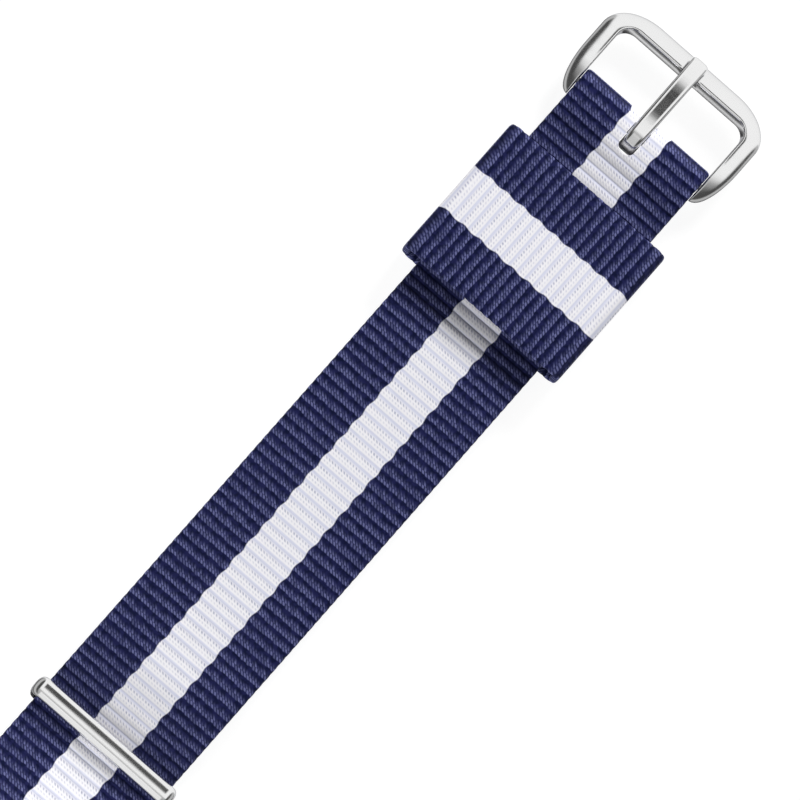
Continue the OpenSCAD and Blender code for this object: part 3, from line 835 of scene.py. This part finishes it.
SEAM_INSET, SIDE_SEAM_Y, KEEPER_ROW_PITCH = 1.5, 8.5, 2.2
box_front, box_back = SHORT_END - SEAM_INSET, RETURN_END + SEAM_INSET
box_low, box_high = SHORT_Z, STACK_Z + WEB_T
box_rows = [seam(x, 0, 8, box_low, box_high, True) for x in (box_front, box_back)]
box_rows += [seam((box_front + box_back) / 2, y, 5, box_low, box_high, False)
             for y in (-SIDE_SEAM_Y, SIDE_SEAM_Y)]
sewn("fold_stitches", box_rows, "fold_stitching", "strap")
loop_rows = [seam(x, 0, 8, LOOP_END_Z, SHORT_Z + WEB_T - THREAD_RISE, True)
             for x in (SLOPE_END + SEAM_INSET, SEAM_END - SEAM_INSET)]
sewn("ring_loop_stitches", loop_rows, "ring_loop_stitching", "strap")
keeper_rows = [seam(keeper_mid[0] + (k - 3.5) * KEEPER_ROW_PITCH, 0, 2, THREAD_RISE, WEB_T, True)
               for k in range(8)]
sewn("keeper_stitches", keeper_rows, "keeper_stitching", "keeper")

# %% [markdown]
# ## Steel
#
# The frame, the tongue and the ring are polished stainless steel. Its colour hardly varies: what shows is
# the room mirrored in it. A fine haze of polishing marks softens the mirror, and handling leaves a few
# duller patches. The spring bar is turned steel, with fine rings from the lathe round its axis.

# %% Polish the steel
def steel_finish(name, tint, gloss, marks):
    """Polished steel. gloss is its roughness, and marks are the stretch of its polishing marks."""
    material, shader, wire = new_finish(name, Metallic=1.0, Specular_Tint=colour(0.42, 0.42, 0.44))
    place = wire.add("TexCoord", None, None, 3)
    streaks = wire.add("Mapping", {"vector_type": "POINT"}, {"Vector": place, "Scale": marks})
    haze = wire.add("TexNoise", None, {"Vector": streaks, "Scale": 900.0, "Detail": 4.0, "Roughness": 0.7})
    patches = wire.add("TexNoise", None, {"Vector": place, "Scale": 260.0, "Detail": 2.0})
    feed(shader, Base_Color=(haze * 0.5 + patches * 0.5).mixed(
        colour(*(0.93 * t for t in tint)), colour(*tint)))
    feed(shader, Roughness=haze.fade(0.3, 0.7, gloss * 0.75, gloss * 1.2) + patches.fade(0.5, 0.8, 0, 0.02))
    feed(shader, Normal=bumps(haze, 0.0008))
    return material


polished = steel_finish("steel_polish", (0.90, 0.90, 0.90), 0.16, (1.0, 0.12, 1.0))
turned = steel_finish("turned_steel", (0.62, 0.62, 0.63), 0.3, (0.15, 1.0, 0.15))
print("finishes:", [material.name for material in bpy.data.materials])

# %% [markdown]
# ## The buckle's frame
#
# The frame is one bar of steel that is bent into a D and pressed to an arch that follows the wrist. Its
# section is flat inside and round outside, its legs narrow to blunt noses behind the spring bar, and its
# outer bar is wider. A grid is rolled along it: each row is the section at one place of the outline, and
# the flat outline is then bent about an axis under the arch.

# %% Sections and the arch
ARCH_R, ARCH_CREST = 18.0, 4.5
CORNER_SHARE, TOP_TURN = 0.26, math.radians(62)


def frame_section():
    """The frame's section for half sizes of one: flat inside with small corners, and round outside."""
    top, corner = np.linspace(0, TOP_TURN, 14), np.radians([108, 126, 144, 162, 180])
    side = np.append(1 - (2 - CORNER_SHARE) * (1 - np.cos(top)) / (1 - math.cos(TOP_TURN)),
                     CORNER_SHARE * (1 + np.cos(corner)) - 1)
    rise = np.append(np.sin(top) / math.sin(TOP_TURN), 1 - CORNER_SHARE * (1 - np.sin(corner)))
    return np.append(side, side[:0:-1]), np.append(rise, -rise[:0:-1])


def rounded_bar(corner_y, corner_z):
    """A flat bar's section for half sizes of one, with corners of the given sizes."""
    corner = np.radians(np.linspace(0, 90, 9))
    side = np.append(1 - corner_y * (1 - np.cos(corner)), [(1 - corner_y) * share for share in (0.6, 0.2)])
    rise = np.append(1 - corner_z * (1 - np.sin(corner)), [1, 1])
    side, rise = np.append(side, -side[::-1]), np.append(rise, rise[::-1])
    return np.append(side, side[::-1]), np.append(rise, -rise[::-1])


def bent(x, y, height):
    """A point of the flat outline, bent to the arch."""
    angle, start = (x - ARCH_CREST) / ARCH_R, -ARCH_CREST / ARCH_R
    reach = ARCH_R + height
    return np.column_stack([reach * np.sin(angle) - ARCH_R * math.sin(start), y,
                            BAR_Z + reach * np.cos(angle) - ARCH_R * math.cos(start)])


# %% [markdown]
# One half of the outline is worked out, from the nose of a leg to the middle of the outer bar, and
# mirrored.

# %% Roll the frame
LEG_IN_Y, LEG_W, OUTER_BAR_W, FRAME_T = 10.06, 2.45, 2.9, 2.3
LEG_OUT_Y = LEG_IN_Y + LEG_W
WINDOW_AND_BAR_L = 10.05
FRAME_END = FOLD_R + WINDOW_AND_BAR_L
CORNER_L, CORNER_W, INNER_CORNER_R = 4.5, 6.3, 1.9
INNER_END, CORNER_X = FRAME_END - OUTER_BAR_W, FRAME_END - CORNER_L
NOSE_BACK, NOSE_L, NOSE_END_SHARE, NOSE_POWER = 2.15, 6.5, 0.06, 0.35
NOSE_ANGLES = (89.4, 88, 86, 84, 81, 78, 75, 71, 67, 63, 58, 54, 49, 44, 38, 33, 27, 22, 16, 11, 5, 0)


def half_outline():
    """Inner point, outer point and thickness of the leg at +Y, from its nose to near the middle."""
    stations, nose_x, round_x = [], NOSE_L - NOSE_BACK, INNER_END - INNER_CORNER_R
    for angle in np.radians(NOSE_ANGLES):
        x = nose_x - NOSE_L * math.sin(angle)
        wide = LEG_W * (NOSE_END_SHARE + (1 - NOSE_END_SHARE) * math.cos(angle))
        stations.append(((x, LEG_IN_Y), (x, LEG_IN_Y + wide), FRAME_T * math.cos(angle) ** NOSE_POWER))
    for share in (0.25, 0.5, 0.75):
        stations.append(((nose_x + share * (round_x - nose_x), LEG_IN_Y),
                         (nose_x + share * (CORNER_X - nose_x), LEG_OUT_Y), FRAME_T))
    for angle in np.radians(np.arange(0, 90.1, 3.75)):
        ahead, aside = math.sin(angle), 1 - math.cos(angle)
        stations.append(((round_x + INNER_CORNER_R * ahead, LEG_IN_Y - INNER_CORNER_R * aside),
                         (CORNER_X + CORNER_L * ahead, LEG_OUT_Y - CORNER_W * aside), FRAME_T))
    for share in (0.85, 0.7, 0.55, 0.4, 0.25, 0.12):
        stations.append(((INNER_END, (LEG_IN_Y - INNER_CORNER_R) * share),
                         (FRAME_END, (LEG_OUT_Y - CORNER_W) * share), FRAME_T))
    return stations


half = half_outline()
mirrored = [((a[0], -a[1]), (b[0], -b[1]), t) for a, b, t in half[::-1]]
outline = half + [((INNER_END, 0), (FRAME_END, 0), FRAME_T)] + mirrored
side, rise = frame_section()
frame_rows = []
for inner, outer, thick in outline:
    inner, outer = np.array(inner), np.array(outer)
    flat_points = (inner + outer) / 2 + side[:, None] * (outer - inner) / 2
    frame_rows.append(bent(flat_points[:, 0], flat_points[:, 1], thick / 2 * rise))
buckle_frame = rolled("buckle_frame_polished", np.array(frame_rows))
print("frame:", len(buckle_frame.data.polygons), "faces")

# %% [markdown]
# Each leg has a blind hole for a tip of the spring bar, and the outer bar a notch for the tongue. They are
# cut from the finished bar, as a miller would, and a narrow bevel then breaks the sharp edges, so that they
# catch the light.

# %% Drill the holes and mill the notch
TONGUE_ARCH_R, TONGUE_CREST, TONGUE_W, TONGUE_T, TONGUE_END_T = 21.0, 2.9, 2.3, 1.9, 1.3
TUBE_R, EYE_PLAY, BORE_CUT, NOTCH_PLAY = 0.9, 0.15, 0.05, 0.05
TIP_HOLE_R, TIP_HOLE_L, TIP_HOLE_REACH, EDGE_BEVEL = 0.45, 1.95, 0.025, 0.07
EYE_R = TUBE_R + EYE_PLAY - BORE_CUT + TONGUE_T
EYE_MID_R = EYE_R - TONGUE_T / 2
tongue_rise = math.asin(TONGUE_CREST / (TONGUE_ARCH_R - EYE_MID_R))
TONGUE_ROOT, TONGUE_TOP = -EYE_MID_R * math.sin(tongue_rise), EYE_MID_R * math.cos(tongue_rise)
TONGUE_REACH = max(row[:, 0].max() for row in frame_rows) - 0.1


def tongue_slope(x):
    """Slope of the tongue's middle line, which is an arc."""
    return -math.asin((x - TONGUE_CREST) / TONGUE_ARCH_R)


def tongue_z(x):
    """Height of the tongue's middle line above the spring bar."""
    return TONGUE_TOP + TONGUE_ARCH_R * (math.cos(tongue_slope(x)) - math.cos(tongue_rise))


def tongue_depth(x):
    return TONGUE_T + (TONGUE_END_T - TONGUE_T) * x / TONGUE_REACH


def tongue_under(x):
    return tongue_z(x) - tongue_depth(x) / 2 / math.cos(tongue_slope(x))


def drill(vertices, radius, length, y):
    """A drill that lies along the spring bar."""
    clear_selection()
    bpy.ops.mesh.primitive_cylinder_add(
        vertices=vertices, radius=radius * MM, depth=length * MM, rotation=(math.radians(90), 0, 0),
        location=(BAR_X * MM, y * MM, BAR_Z * MM))
    bpy.ops.object.transform_apply(location=True, rotation=True)
    return bpy.context.object


def notch_block():
    """A block over the outer bar that leans with the tongue."""
    clear_selection()
    bpy.ops.mesh.primitive_cube_add(size=1)
    block = bpy.context.object
    inner_x = TONGUE_REACH - OUTER_BAR_W
    floor_z = BAR_Z + tongue_under(inner_x) - NOTCH_PLAY
    tilt = math.atan((tongue_under(inner_x) - tongue_under(TONGUE_REACH)) / OUTER_BAR_W)
    wide, deep, long = TONGUE_W + 0.2, FRAME_T * 2, OUTER_BAR_W + 2
    for vertex in block.data.vertices:
        x, y, z = (vertex.co[0] + 0.5) * long - 1, vertex.co[1] * wide, (vertex.co[2] + 0.5) * deep
        vertex.co = ((BAR_X + inner_x + x * math.cos(tilt) + z * math.sin(tilt)) * MM, y * MM,
                     (floor_z - x * math.sin(tilt) + z * math.cos(tilt)) * MM)
    return block


def break_edges(piece, width, angle=48):
    """A narrow rounded bevel on the sharp edges."""
    step = piece.modifiers.new("broken_edges", "BEVEL")
    step.width, step.segments, step.limit_method = width * MM, 2, "ANGLE"
    step.angle_limit, step.use_clamp_overlap = math.radians(angle), True
    choose(piece)
    bpy.ops.object.modifier_apply(modifier=step.name)


def polish(piece):
    """The finish and the shading of a steel piece."""
    piece.data.materials.clear()
    piece.data.materials.append(polished)
    smooth(piece, 40)
    print(piece.name, "has", len(piece.data.polygons), "faces")


for side_y in (-1, 1):
    cut(buckle_frame, drill(32, TIP_HOLE_R, TIP_HOLE_L, side_y * (LEG_IN_Y - TIP_HOLE_REACH)))
cut(buckle_frame, notch_block())
break_edges(buckle_frame, EDGE_BEVEL)
polish(buckle_frame)

# %% [markdown]
# ## The tongue
#
# The tongue is a rod with one end bent round the spring bar. Its rows run from the free end in the notch,
# back along an arm that is arched like the frame, and round the bar for most of a turn. The arm's top is
# flattened, and the end of the bend is cut square, as the end of a bent rod is.

# %% Bend the tongue
EYE_TURN, END_L, BORE_L = 264, 0.4, 6


def tongue_row(x, z, slope, wide, thick, flatness=1.0):
    """The rod's section at a place and slope of its middle line. flatness squares it toward a flat bar."""
    side, rise = rounded_bar(0.55, 0.62 - 0.1 * flatness)
    return np.column_stack([x - thick / 2 * rise * math.sin(slope), -wide / 2 * side,
                            BAR_Z + z + thick / 2 * rise * math.cos(slope)])


tongue_rows = []
for angle in np.radians([0, 12, 25, 40, 60]):
    share, x = 1 - math.sin(angle), TONGUE_REACH - END_L * (1 - math.cos(angle))
    tongue_rows.append(tongue_row(
        x, tongue_z(x), tongue_slope(x), TONGUE_W * (1 - 0.4 * share), TONGUE_END_T * (1 - 0.7 * share)))
for share in np.linspace(0, 1, 41):
    x = TONGUE_REACH - END_L + (TONGUE_ROOT - TONGUE_REACH + END_L) * share
    tongue_rows.append(tongue_row(
        x, tongue_z(x), tongue_slope(x), TONGUE_W, tongue_depth(x), float(blend(x, TONGUE_ROOT, 1.2))))
for angle in tongue_rise + np.radians(np.arange(6, EYE_TURN + 1, 6)):
    tongue_rows.append(tongue_row(
        -EYE_MID_R * math.sin(angle), EYE_MID_R * math.cos(angle), angle, TONGUE_W, TONGUE_T, 0.0))
buckle_tongue = rolled("buckle_tongue_polished", np.array(tongue_rows))
cut(buckle_tongue, drill(64, TUBE_R + EYE_PLAY, BORE_L, 0))
polish(buckle_tongue)

# %% [markdown]
# ## The ring
#
# The ring is half-round stock with its flat side inside, bent round the strap into a flat oblong. It is
# drawn as a bender makes it: the section is extruded along a bar, spun round a corner, and so on round all
# four corners, until the last row meets the first.

# %% Bend the ring
RING_T, RING_EDGE, CORNER_IN_R, CROWN_POWER = 1.0, 0.12, 0.35, 0.86
RING_SIDE_PLAY, RING_TOP_PLAY, FLAT_CORNER, FLAT_X = 0.15, 0.65, 0.035, 0.6
RING_IN_W = WEB_W + 2 * RING_SIDE_PLAY
RING_IN_Z = SHORT_Z + (TUNNEL_H - RING_T) / 2 + RING_T
RING_IN_H = LOW_Z + TUNNEL_H + WEB_T + RING_TOP_PLAY - RING_IN_Z
ring_mid_z = RING_IN_Z + RING_IN_H / 2
straight_w, straight_h = RING_IN_W - 2 * CORNER_IN_R, RING_IN_H - 2 * CORNER_IN_R


def ring_section():
    """The ring's section, with its inside at height 0: a flattened half ellipse over a flat."""
    angles = np.radians(np.linspace(0, 90, 17))
    side = RING_L / 2 * np.cos(angles) ** CROWN_POWER
    rise = RING_EDGE + (RING_T - RING_EDGE) * np.sin(angles) ** CROWN_POWER
    crown = list(zip(side, rise)) + list(zip(-side[-2::-1], rise[-2::-1]))
    low = [(RING_L / 2 - FLAT_CORNER, FLAT_CORNER), (RING_L / 2 - RING_EDGE, 0.0), (FLAT_X, 0.0)]
    return crown + [(-x, z) for x, z in low] + [(0.0, 0.0)] + low[::-1]


def bend_ring():
    """Extrudes and spins the section once round the oblong."""
    section = ring_section()
    clear_selection()
    bpy.ops.mesh.primitive_circle_add(vertices=len(section), fill_type="NOTHING")
    piece = bpy.context.object
    top = ring_mid_z + RING_IN_H / 2
    for vertex, (x, height) in zip(piece.data.vertices, section):
        vertex.co = ((BAR_X + RING_X + x) * MM, 0, (top + height) * MM)
    bpy.ops.object.mode_set(mode="EDIT")
    select_mesh()
    y, z = straight_w / 2 * MM, straight_h / 2 * MM
    corners = (((0, y, 0), (0, y, z)), ((0, 0, -2 * z), (0, y, -z)),
               ((0, -2 * y, 0), (0, -y, -z)), ((0, 0, 2 * z), (0, -y, z)), ((0, y, 0), None))
    for shift, centre in corners:
        bpy.ops.mesh.extrude_region_move(TRANSFORM_OT_translate={"value": shift})
        if centre:
            bpy.ops.mesh.spin(steps=9, angle=math.radians(90), axis=(1, 0, 0),
                              center=((BAR_X + RING_X) * MM, centre[1], centre[2] + ring_mid_z * MM))
    select_mesh()
    bpy.ops.mesh.remove_doubles(threshold=WELD)
    bpy.ops.mesh.normals_make_consistent(inside=False)
    bpy.ops.object.mode_set(mode="OBJECT")
    piece.name = piece.data.name = "strap_ring_polished"
    return piece


strap_ring = bend_ring()
polish(strap_ring)
print("ring in mm:", [round(v / MM, 2) for v in strap_ring.dimensions])

# %% [markdown]
# ## Hand over the steel
#
# The new frame, tongue and ring take the places of their nodes. The spring bar's tube, spring and tips are
# already right as they are and mostly out of sight, so they keep their meshes and only get the finish.

# %% Dress the steel pieces
for piece, node, body in ((buckle_frame, "buckle_frame", "buckle"),
                          (buckle_tongue, "buckle_tongue", "tongue"), (strap_ring, "strap_ring", "ring")):
    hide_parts(node)
    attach(piece, body)
for node in ("spring_bar_tube", "spring_bar_spring", "spring_bar_tip_left", "spring_bar_tip_right"):
    mesh_object = frame["nodes"][node]
    for holder in mesh_object.material_slots:
        holder.material = turned
    print(node, "wears", mesh_object.material_slots[0].material.name)
